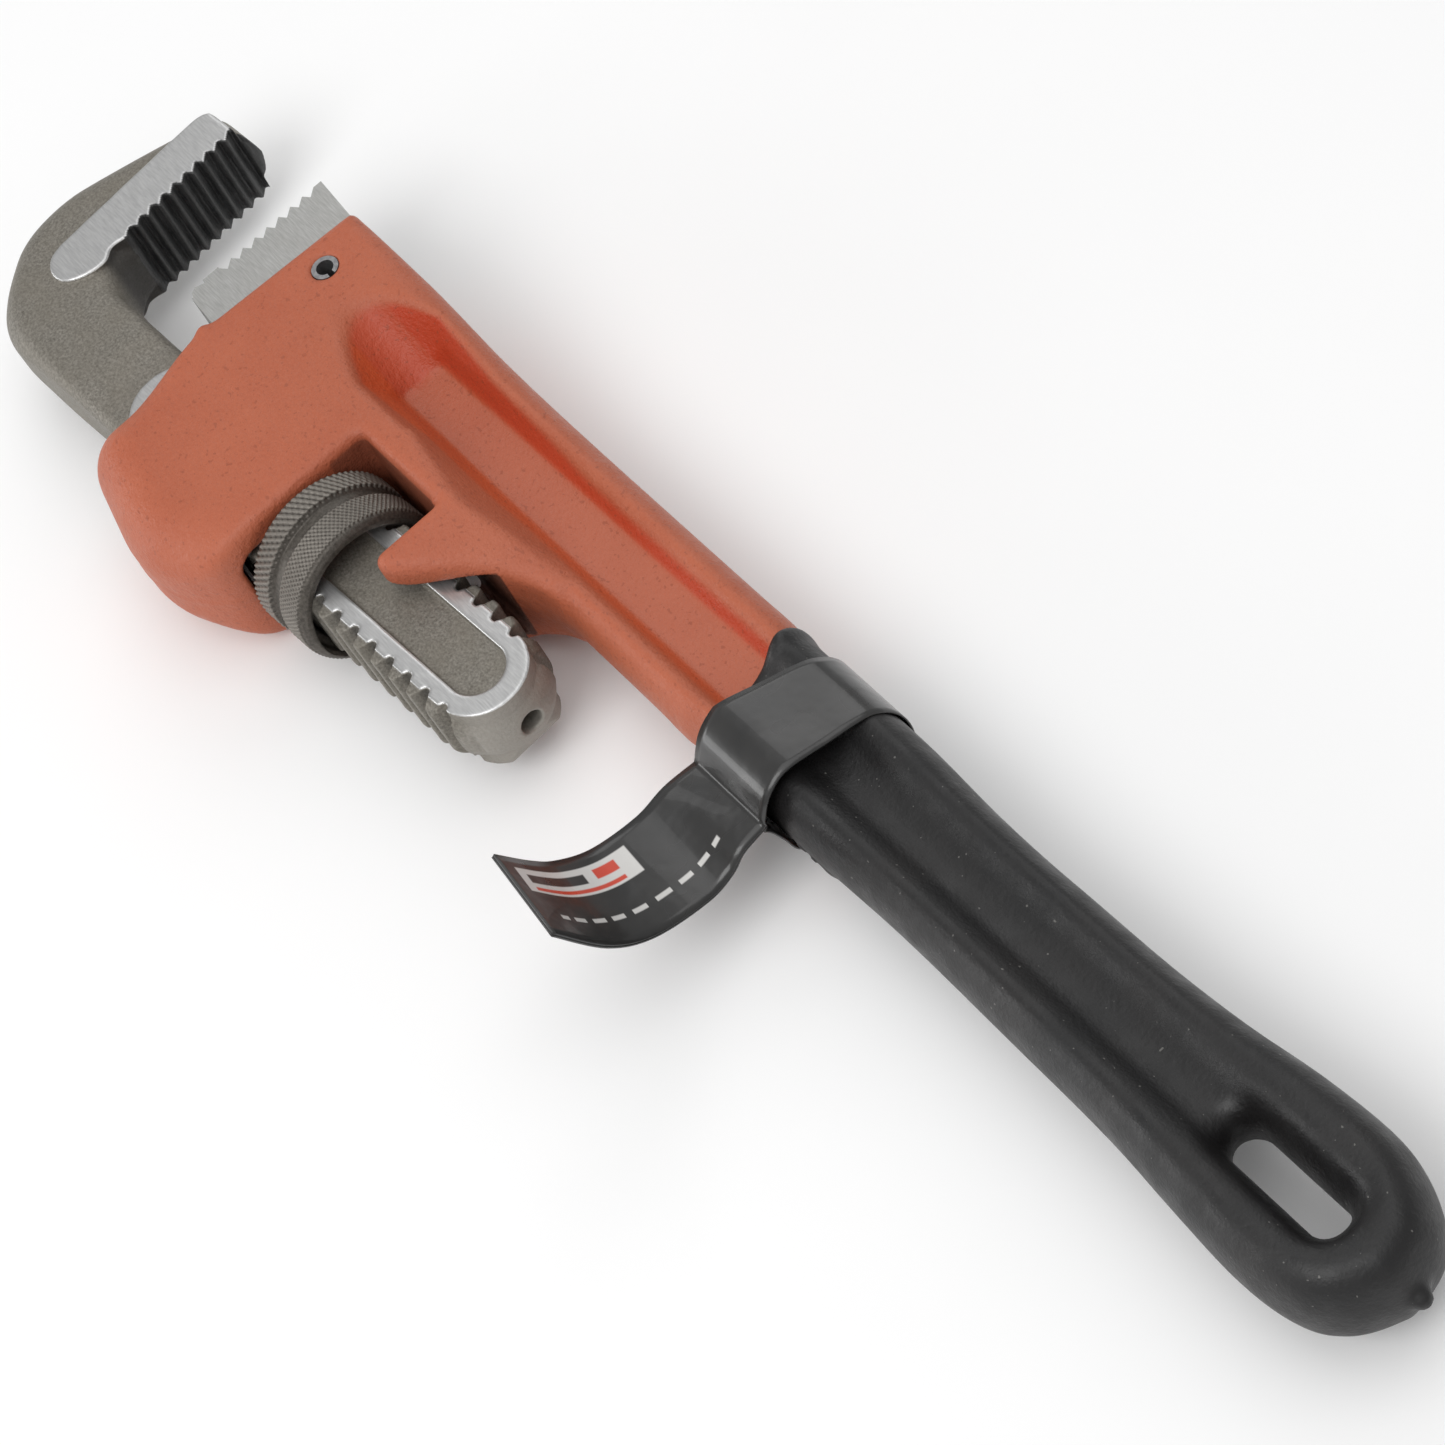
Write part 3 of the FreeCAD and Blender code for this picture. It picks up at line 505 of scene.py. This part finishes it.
def resample(points, count):
    """Evenly spaced points along a smooth path."""
    path = np.array(smooth_path(points, 12))
    steps = np.hypot(*np.diff(path, axis=0).T)
    at = np.concatenate([[0.0], np.cumsum(steps)])
    even = np.linspace(0.0, at[-1], count)
    return np.stack([np.interp(even, at, path[:, 0]), np.interp(even, at, path[:, 1])], 1)


def edge_line(flap, edge_x):
    """One long edge of the strip: flap, loop round the grip, and back under the flap."""
    out = resample(flap, 60)
    loop = resample(BAND, 120)
    under = out.copy()
    slope = np.gradient(out, axis=0)
    normal = np.stack([slope[:, 1], -slope[:, 0]], 1)
    normal /= np.linalg.norm(normal, axis=1)[:, None]
    under += normal * FLAP_GAP * np.sign(-normal[:, 1:2])
    line = np.concatenate([out[::-1], loop[1:-1], under])
    x = np.interp(line[:, 0], *edge_x).astype(np.float32)
    return np.concatenate([x[:, None], line], 1)


def folded_tag():
    """Thin strip between the two edge lines, with its cut edges closed."""
    head_edge = edge_line(FLAP_HEAD, HEAD_EDGE_X)
    tail_edge = edge_line(FLAP_TAIL, TAIL_EDGE_X)
    across = np.linspace(0.0, 1.0, 13)
    middle = head_edge[:, None] * (1.0 - across[:, None]) + tail_edge[:, None] * across[:, None]
    along_dir = np.gradient(middle, axis=0)
    across_dir = np.gradient(middle, axis=1)
    normal = np.cross(across_dir, along_dir)
    normal /= np.linalg.norm(normal, axis=2)[..., None]
    rows, columns = middle.shape[:2]
    outer = middle + 0.5 * TAG_THICK * normal
    inner = middle - 0.5 * TAG_THICK * normal
    points = np.concatenate([outer.reshape(-1, 3), inner.reshape(-1, 3)])
    number = np.arange(rows * columns).reshape(rows, columns)
    low = number + rows * columns

    def quads_of(grid, flip):
        quads = np.stack([grid[:-1, :-1], grid[1:, :-1], grid[1:, 1:], grid[:-1, 1:]], 2).reshape(-1, 4)
        return quads[:, ::-1] if flip else quads

    rims = [np.stack([number[0], low[0]], 1), np.stack([low[-1], number[-1]], 1),
            np.stack([low[:, 0], number[:, 0]], 1), np.stack([number[:, -1], low[:, -1]], 1)]
    quads = [quads_of(number, True), quads_of(low, False)]
    for rim in rims:
        quads.append(quads_of(rim, True))
    strip = build_mesh("folded_tag", points, np.concatenate(quads), HANDLE_FRAME)
    length = np.linalg.norm(np.diff(middle[:, columns // 2], axis=0), axis=1)
    at = np.concatenate([[0.0], np.cumsum(length)])
    along = np.tile(np.repeat(at, columns), 2)
    side = np.tile(np.tile(across * TAG_WIDE, rows), 2)
    add_value(strip, "along", along)
    add_value(strip, "across", side)
    add_value(strip, "printed", np.repeat([1.0, 0.0], rows * columns))
    return strip, float(at[-1])


def add_value(thing, name, values):
    """One number per vertex, read by the materials."""
    layer = thing.data.attributes.new(name, "FLOAT", "POINT")
    layer.data.foreach_set("value", np.asarray(values, np.float32))


def local_points(thing, place):
    """Vertex positions in a drawing frame, in millimetres."""
    points = np.zeros(len(thing.data.vertices) * 3, np.float32)
    thing.data.vertices.foreach_get("co", points)
    back = np.array(place.inverted())
    return (points.reshape(-1, 3) @ back[:3, :3].T + back[:3, 3]) / MM


tag, tag_length = folded_tag()
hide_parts("hang_tag")
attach(tag, "handle_body")


# --- values per vertex that the materials read ------------------------------------------------------

hx, hy, hz = local_points(hook_jaw, SHANK_FRAME).T
teeth_edge = np.interp(hy, [17.5, 45.7], [-81.4, -82.8])
on_bar = (np.abs(hz) > 8.35) & (hx < -79.0)
in_rim = slot_2d(hx, hy, RIM_LEFT, RIM_RIGHT, RIM_HALF) < 0.15
on_rim = (np.abs(hz) > 7.4) & (hx > -52.2) & in_rim
in_teeth = (hx > teeth_edge - 1.9) & (hy > 16.9) & (np.abs(hz) < 8.6)
# painted shade under the edge of the ground bar near the throat
below = smoothstep(-90.0, -84.0, hx) * smoothstep(9.0, 12.5, hy) * smoothstep(19.0, 17.0, hy)
below = below * (np.abs(hz) < 8.4)
low_flank = np.clip((hx - teeth_edge + 1.6) / 1.6, 0.0, 1.0) * in_teeth
add_value(hook_jaw, "ground", np.where(on_bar | on_rim, 1.0, 0.0))
add_value(hook_jaw, "teeth", np.where(in_teeth, 1.0, 0.0))
add_value(hook_jaw, "crest", low_flank)
heat = np.exp(-((hx + 86.0) / 6.0) ** 2 - ((hy - 2.5) / 5.0) ** 2)
heat += np.exp(-((hx + 78.0) / 5.0) ** 2 - ((hy - 8.5) / 4.0) ** 2)
add_value(hook_jaw, "heat", np.clip(heat, 0.0, 1.0))
# painted highlight: the shank's end gets a lighter colour that stands in for light falling on it
add_value(hook_jaw, "end", smoothstep(50.0, 55.0, hx))
# painted shade in the thread roots along the shank's narrow sides
roots = smoothstep(9.8, 8.2, np.abs(hy)) * (np.abs(hy) > 7.75) * (np.abs(hz) < SHANK_FLAT)
roots = roots * (hx > -40.0) * (hx < 47.0)
add_value(hook_jaw, "crease_shade", np.clip(below + 0.7 * roots, 0.0, 1.0))

cx, cy, cz = local_points(handle, HANDLE_FRAME).T
height = np.abs(cz)
rim_top = HOUSING_HALF - 6.8 * smoothstep(-22.0, 34.0, cx)
sunk = smoothstep(rim_top - 0.8, rim_top - 2.6, height) * (height > 3.6) * (np.abs(cy) < 9.0)
wall = sunk * smoothstep(3.9, 5.3, np.abs(cy)) * smoothstep(-30.0, -24.0, cx)
run_out = sunk * smoothstep(-10.0, -13.0, cx) * smoothstep(-30.0, -24.0, cx)
# painted shade: the recess's +y inner wall and its head-end run-out get a deep red that stands in for
# shade
add_value(handle, "recess_shade", np.clip(np.where(cy > 0.0, wall, 0.0) + 0.75 * run_out, 0.0, 1.0))
# painted light: the recess's -y inner wall gets a brighter, more saturated orange that stands in for
# light falling on it
add_value(handle, "recess_light", np.where(cy < 0.0, wall, 0.0))
# painted light: the flat floor of the recess gets a lighter, pinker orange where it faces the light
panel = smoothstep(4.8, 4.3, np.abs(cy)) * smoothstep(-12.8, -12.0, cx) * (height < 4.7)
add_value(handle, "panel", panel)
in_channel = ((height < 9.3) & (cy < -16.0) & (cx > -46.8)
              & ((cx < -4.6) & (cy < -20.0) & (cy > -44.0) | (cx > 18.4)))
in_window = (cx > -3.6) & (cx < 19.6) & (cy < -15.1) & (cy > -23.0) & (height < 12.8)
add_value(handle, "shade", np.where(in_channel, 1.0, 0.0) + np.where(in_window & ~in_channel, 0.55, 0.0))


# --- materials -----------------------------------------------------------------------------------------

class Paint:
    """A principled material with helper nodes; lengths given in millimetres."""

    def __init__(self, name):
        self.material = bpy.data.materials.new(name)
        self.material.use_nodes = True
        self.tree = self.material.node_tree
        self.shader = self.tree.nodes["Principled BSDF"]
        self.where = self.tree.nodes.new("ShaderNodeTexCoord").outputs["Object"]

    def constant(self, **values):
        for key, value in values.items():
            self.shader.inputs[key.replace("_", " ")].default_value = value

    def link(self, source, target):
        self.tree.links.new(source, target)

    def value(self, name):
        node = self.tree.nodes.new("ShaderNodeAttribute")
        node.attribute_name = name
        return node.outputs["Fac"]

    def stretched(self, scale, turn=0.0):
        node = self.tree.nodes.new("ShaderNodeMapping")
        node.inputs["Scale"].default_value = scale
        node.inputs["Rotation"].default_value = (0.0, 0.0, turn)
        self.link(self.where, node.inputs["Vector"])
        return node.outputs["Vector"]

    def noise(self, feature_mm, detail=3.0, rough=0.55, vector=None, distortion=0.0):
        node = self.tree.nodes.new("ShaderNodeTexNoise")
        node.inputs["Scale"].default_value = 1.0 / (feature_mm * MM)
        node.inputs["Detail"].default_value = detail
        node.inputs["Roughness"].default_value = rough
        node.inputs["Distortion"].default_value = distortion
        self.link(vector or self.where, node.inputs["Vector"])
        return node.outputs["Fac"]

    def ramp(self, source, low, high, start=0.0, end=1.0):
        node = self.tree.nodes.new("ShaderNodeMapRange")
        node.inputs["From Min"].default_value = low
        node.inputs["From Max"].default_value = high
        node.inputs["To Min"].default_value = start
        node.inputs["To Max"].default_value = end
        self.link(source, node.inputs["Value"])
        return node.outputs["Result"]

    def maths(self, operation, first, second):
        node = self.tree.nodes.new("ShaderNodeMath")
        node.operation = operation
        for socket, item in zip(node.inputs, (first, second)):
            if isinstance(item, (int, float)):
                socket.default_value = item
            else:
                self.link(item, socket)
        return node.outputs[0]

    def mix(self, amount, first, second):
        """Colour mix; colours are (r, g, b) or sockets."""
        node = self.tree.nodes.new("ShaderNodeMix")
        node.data_type = "RGBA"
        if isinstance(amount, (int, float)):
            node.inputs["Factor"].default_value = amount
        else:
            self.link(amount, node.inputs["Factor"])
        for socket, item in ((node.inputs[6], first), (node.inputs[7], second)):
            if isinstance(item, tuple):
                socket.default_value = (*item, 1.0)
            else:
                self.link(item, socket)
        return node.outputs[2]

    def colour(self, source):
        self.link(source, self.shader.inputs["Base Color"])

    def bump(self, height, depth_mm, strength=1.0):
        node = self.tree.nodes.new("ShaderNodeBump")
        node.inputs["Strength"].default_value = strength
        node.inputs["Distance"].default_value = depth_mm * MM
        self.link(height, node.inputs["Height"])
        self.link(node.outputs["Normal"], self.shader.inputs["Normal"])


def dress(thing, paint):
    thing.data.materials.clear()
    thing.data.materials.append(paint.material)


def enamel():
    """Orange enamel over a cast surface, with painted shade and painted light in the recess and painted
    shade in the channel and window.
    """
    paint = Paint("orange_enamel")
    broad = paint.ramp(paint.noise(14.0, 2.0), 0.3, 0.7)
    fine = paint.ramp(paint.noise(0.45, 2.0, 0.7), 0.34, 0.66)
    base = paint.mix(broad, (0.44, 0.112, 0.052), (0.40, 0.094, 0.042))
    base = paint.mix(paint.maths("MULTIPLY", fine, 0.35), base, (0.50, 0.150, 0.080))
    # painted shade on the recess's +y wall and run-out
    base = paint.mix(paint.maths("MULTIPLY", paint.value("recess_shade"), 0.85), base, (0.47, 0.046, 0.013))
    # painted light on the recess's -y wall
    base = paint.mix(paint.maths("MULTIPLY", paint.value("recess_light"), 0.8), base, (0.52, 0.085, 0.022))
    # painted light on the flat recess floor
    base = paint.mix(paint.maths("MULTIPLY", paint.value("panel"), 0.5), base, (0.45, 0.13, 0.075))
    specks = paint.ramp(paint.noise(0.9, 1.0), 0.64, 0.71)
    base = paint.mix(paint.maths("MULTIPLY", specks, 0.45), base, (0.24, 0.05, 0.02))
    base = paint.mix(paint.maths("MULTIPLY", paint.value("shade"), 0.85), base, (0.05, 0.025, 0.018))
    paint.colour(base)
    paint.link(paint.ramp(paint.noise(3.0), 0.3, 0.7, 0.42, 0.56), paint.shader.inputs["Roughness"])
    grain = paint.maths("ADD", paint.noise(1.1, 3.0), paint.maths("MULTIPLY", paint.noise(0.4, 2.0), 0.5))
    paint.bump(grain, 0.24)
    paint.constant(IOR=1.45)
    return paint


def vinyl():
    """Dipped black vinyl with a fine skin and a little dust."""
    paint = Paint("dipped_vinyl")
    cloudy = paint.ramp(paint.noise(18.0, 3.0), 0.35, 0.65)
    base = paint.mix(cloudy, (0.0065, 0.0065, 0.007), (0.0105, 0.0095, 0.0095))
    dust = paint.ramp(paint.noise(0.7, 0.0), 0.83, 0.86)
    base = paint.mix(paint.maths("MULTIPLY", dust, 0.35), base, (0.30, 0.29, 0.27))
    paint.colour(base)
    paint.link(paint.ramp(paint.noise(5.0, 3.0), 0.3, 0.7, 0.40, 0.56), paint.shader.inputs["Roughness"])
    skin = paint.maths("ADD", paint.noise(0.8, 3.0, 0.6), paint.noise(3.4, 2.0))
    paint.bump(skin, 0.11)
    return paint


def forging():
    """Scaled forged steel, with ground, blackened and heat-tinted areas, painted shade in the thread
    roots and under the bar, and a painted highlight on the shank's end.
    """
    paint = Paint("forged_jaw")
    grit = paint.ramp(paint.noise(0.5, 3.0, 0.7), 0.3, 0.7)
    blotch = paint.ramp(paint.noise(7.0, 3.0), 0.35, 0.65)
    scale = paint.mix(grit, (0.115, 0.105, 0.086), (0.30, 0.28, 0.245))
    scale = paint.mix(paint.maths("MULTIPLY", blotch, 0.4), scale, (0.20, 0.18, 0.145))
    tint = paint.maths("MULTIPLY", paint.value("heat"), paint.ramp(paint.noise(3.0), 0.3, 0.6))
    scale = paint.mix(paint.maths("MULTIPLY", tint, 0.6), scale, (0.12, 0.072, 0.055))
    rubbed = paint.maths("MULTIPLY", paint.value("heat"), paint.ramp(paint.noise(3.2, 2.0), 0.58, 0.64))
    scale = paint.mix(paint.maths("MULTIPLY", rubbed, 0.7), scale, (0.40, 0.40, 0.39))
    # painted highlight on the shank's end
    scale = paint.mix(paint.maths("MULTIPLY", paint.value("end"), 0.6), scale, (0.40, 0.375, 0.34))
    # painted shade in the thread roots and under the bar's edge
    scale = paint.mix(paint.maths("MULTIPLY", paint.value("crease_shade"), 0.85), scale, (0.035, 0.033, 0.032))
    streak = paint.noise(0.35, 2.0, 0.6, paint.stretched((0.12, 1.0, 1.0), SHANK_TILT + 1.2))
    bright = paint.mix(paint.ramp(streak, 0.3, 0.7), (0.50, 0.50, 0.50), (0.64, 0.64, 0.635))
    base = paint.mix(paint.value("ground"), scale, bright)
    flank = paint.ramp(paint.value("crest"), 0.55, 1.0)
    scratches = paint.noise(0.5, 2.0, 0.6, paint.stretched((1.0, 1.0, 0.08)))
    marks = paint.maths("MULTIPLY", paint.ramp(scratches, 0.4, 0.7), 0.5)
    black = paint.mix(marks, (0.018, 0.018, 0.018), (0.10, 0.10, 0.10))
    black = paint.mix(paint.maths("MULTIPLY", flank, 0.35), black, (0.16, 0.16, 0.16))
    base = paint.mix(paint.value("teeth"), base, black)
    paint.colour(base)
    worn = paint.ramp(paint.value("ground"), 0.0, 1.0, 0.55, 0.36)
    paint.link(worn, paint.shader.inputs["Roughness"])
    paint.link(paint.ramp(paint.value("ground"), 0.0, 1.0, 0.45, 0.85), paint.shader.inputs["Metallic"])
    rough = paint.maths("ADD", paint.noise(0.7, 4.0, 0.65), paint.noise(2.4, 2.0))
    height = paint.maths("MULTIPLY", rough, paint.ramp(paint.value("ground"), 0.0, 1.0, 1.0, 0.06))
    paint.bump(height, 0.16)
    return paint


def nut_iron():
    """Dark cast iron worn pale on the knurl's tops."""
    paint = Paint("nut_iron")
    grit = paint.ramp(paint.noise(0.6, 3.0, 0.7), 0.3, 0.7)
    base = paint.mix(grit, (0.050, 0.043, 0.036), (0.125, 0.111, 0.095))
    top = paint.ramp(paint.value("worn"), 0.0, 1.0, 0.0, 0.75)
    base = paint.mix(top, base, (0.235, 0.215, 0.19))
    paint.colour(base)
    paint.constant(Metallic=0.5, Roughness=0.46)
    paint.bump(paint.noise(0.5, 3.0, 0.65), 0.08)
    return paint


def brushed_steel():
    """Ground tool steel with fine marks along the handle's direction."""
    paint = Paint("brushed_steel")
    streak = paint.noise(0.30, 2.0, 0.6, paint.stretched((0.10, 1.0, 1.0)))
    spots = paint.ramp(paint.noise(5.0, 2.0), 0.35, 0.65)
    base = paint.mix(paint.ramp(streak, 0.3, 0.7), (0.42, 0.42, 0.405), (0.56, 0.56, 0.545))
    base = paint.mix(paint.maths("MULTIPLY", spots, 0.2), base, (0.42, 0.41, 0.39))
    paint.colour(base)
    paint.constant(Metallic=0.8, Roughness=0.38)
    paint.bump(streak, 0.03)
    return paint


def spring_steel():
    """Plain drawn steel of the pin and the springs."""
    paint = Paint("spring_steel")
    mottled = paint.ramp(paint.noise(0.8, 3.0), 0.3, 0.7)
    paint.colour(paint.mix(mottled, (0.26, 0.26, 0.27), (0.42, 0.42, 0.42)))
    paint.constant(Metallic=0.85, Roughness=0.34)
    paint.bump(paint.noise(0.4), 0.02)
    return paint


def tag_film():
    """Laminated black card with a white panel, plain bars and a broken pale line."""
    paint = Paint("tag_film")
    along = paint.value("along")
    across = paint.value("across")

    def between(source, low, high, soft=0.12):
        rise = paint.ramp(source, low - soft, low + soft)
        fall = paint.ramp(source, high - soft, high + soft, 1.0, 0.0)
        return paint.maths("MULTIPLY", rise, fall)

    def patch(a, b, c, d):
        return paint.maths("MULTIPLY", between(along, a, b), between(across, c, d))

    cloudy = paint.ramp(paint.noise(9.0, 2.0), 0.3, 0.7)
    base = paint.mix(cloudy, (0.020, 0.020, 0.020), (0.030, 0.029, 0.028))
    panel = patch(3.0, 27.5, 2.6, 8.2)
    red_bar = patch(5.0, 24.5, 6.9, 7.7)
    dark_bar = patch(5.0, 18.0, 3.9, 5.9)
    red_block = patch(20.0, 24.5, 3.6, 5.6)
    dashes = paint.tree.nodes.new("ShaderNodeTexWave")
    dashes.inputs["Scale"].default_value = 0.075
    dashes.inputs["Distortion"].default_value = 2.5
    at = paint.tree.nodes.new("ShaderNodeCombineXYZ")
    paint.link(along, at.inputs["X"])
    paint.link(at.outputs[0], dashes.inputs["Vector"])
    broken = paint.ramp(dashes.outputs["Fac"], 0.25, 0.3)
    line = paint.maths("MULTIPLY", patch(6.0, 40.0, 13.2, 14.1), broken)
    face = paint.ramp(paint.value("printed"), 0.98, 0.99)
    for mask, colour in ((panel, (0.66, 0.65, 0.63)), (red_bar, (0.62, 0.07, 0.04)),
                         (dark_bar, (0.03, 0.03, 0.03)), (red_block, (0.62, 0.07, 0.04)),
                         (line, (0.60, 0.59, 0.57))):
        base = paint.mix(paint.maths("MULTIPLY", mask, face), base, colour)
    paint.colour(base)
    paint.link(paint.ramp(paint.noise(12.0, 2.0), 0.3, 0.7, 0.24, 0.36), paint.shader.inputs["Roughness"])
    paint.bump(paint.noise(6.0, 2.0), 0.25)
    paint.shader.inputs["Coat Weight"].default_value = 0.3
    return paint


nx, ny, nz = local_points(nut, SHANK_FRAME).T
nut_radius = np.hypot(ny, nz)
band_top = np.where(nx < 4.5, 15.02, 14.85)
add_value(nut, "worn", smoothstep(-0.14, 0.0, nut_radius - band_top) * (nx < 11.6))

cad = frame["nodes"]
dress(handle, enamel())
dress(sleeve, vinyl())
dress(hook_jaw, forging())
dress(nut, nut_iron())
dress(tag, tag_film())
dress(cad["heel_jaw"], brushed_steel())
steel = spring_steel()
for name in ("heel_jaw_pin", "coil_spring", "flat_spring"):
    dress(cad[name], steel)


# --- floor, lights and camera -----------------------------------------------------------------------

def floor():
    """Large pale floor with a faint texture."""
    size = 3.0
    low = CAD_BOUNDS[0][2] - 0.0002
    mesh = bpy.data.meshes.new("floor")
    corners = [(-size, -size, low), (size, -size, low), (size, size, low), (-size, size, low)]
    mesh.from_pydata(corners, [], [(0, 1, 2, 3)])
    thing = bpy.data.objects.new("floor", mesh)
    bpy.context.scene.collection.objects.link(thing)
    paint = Paint("floor_paint")
    paint.colour(paint.mix(paint.noise(60.0), (0.93, 0.93, 0.93), (0.95, 0.95, 0.95)))
    paint.constant(Roughness=0.8)
    dress(thing, paint)


def area_light(name, place, size, power):
    """Soft white panel aimed at the wrench."""
    data = bpy.data.lights.new(name, "AREA")
    data.shape = "RECTANGLE"
    data.size, data.size_y = size
    data.energy = power
    thing = bpy.data.objects.new(name, data)
    bpy.context.scene.collection.objects.link(thing)
    thing.location = place
    thing.rotation_euler = (-Vector(place)).to_track_quat("-Z", "Y").to_euler()


SENSOR_WIDTH = 36.0
LENS = 119.585


def camera():
    """Looks down from beyond the grip end, the handle running to the lower right."""
    look = Vector((-0.59864, 0.127229, -0.79085)).normalized()
    right = Vector((0.583543, 0.741225, -0.324255))
    right = (right - look * right.dot(look)).normalized()
    up = right.cross(look)
    data = bpy.data.cameras.new("camera")
    data.lens = LENS
    data.sensor_width = SENSOR_WIDTH
    data.sensor_fit = "HORIZONTAL"
    data.clip_start, data.clip_end = 0.05, 20.0
    thing = bpy.data.objects.new("camera", data)
    bpy.context.scene.collection.objects.link(thing)
    turn = Matrix((right, up, -look)).transposed().to_4x4()
    thing.matrix_world = Matrix.Translation((0.478367, -0.085544, 0.630319)) @ turn
    bpy.context.scene.camera = thing


floor()
area_light("key_light", (0.45, -0.85, 1.25), (1.0, 0.8), 9.6)
area_light("top_light", (0.1, 0.1, 1.6), (1.6, 1.6), 9.0)
area_light("low_light", (-0.85, -1.1, 0.28), (0.9, 0.45), 4.5)
area_light("back_light", (-0.9, 0.7, 0.9), (0.8, 0.8), 2.5)
camera()
world = bpy.data.worlds.new("studio")
bpy.context.scene.world = world
world.use_nodes = True
world.node_tree.nodes["Background"].inputs["Color"].default_value = (1.0, 1.0, 1.0, 1.0)
world.node_tree.nodes["Background"].inputs["Strength"].default_value = 0.42
bpy.context.scene.view_settings.view_transform = "Standard"
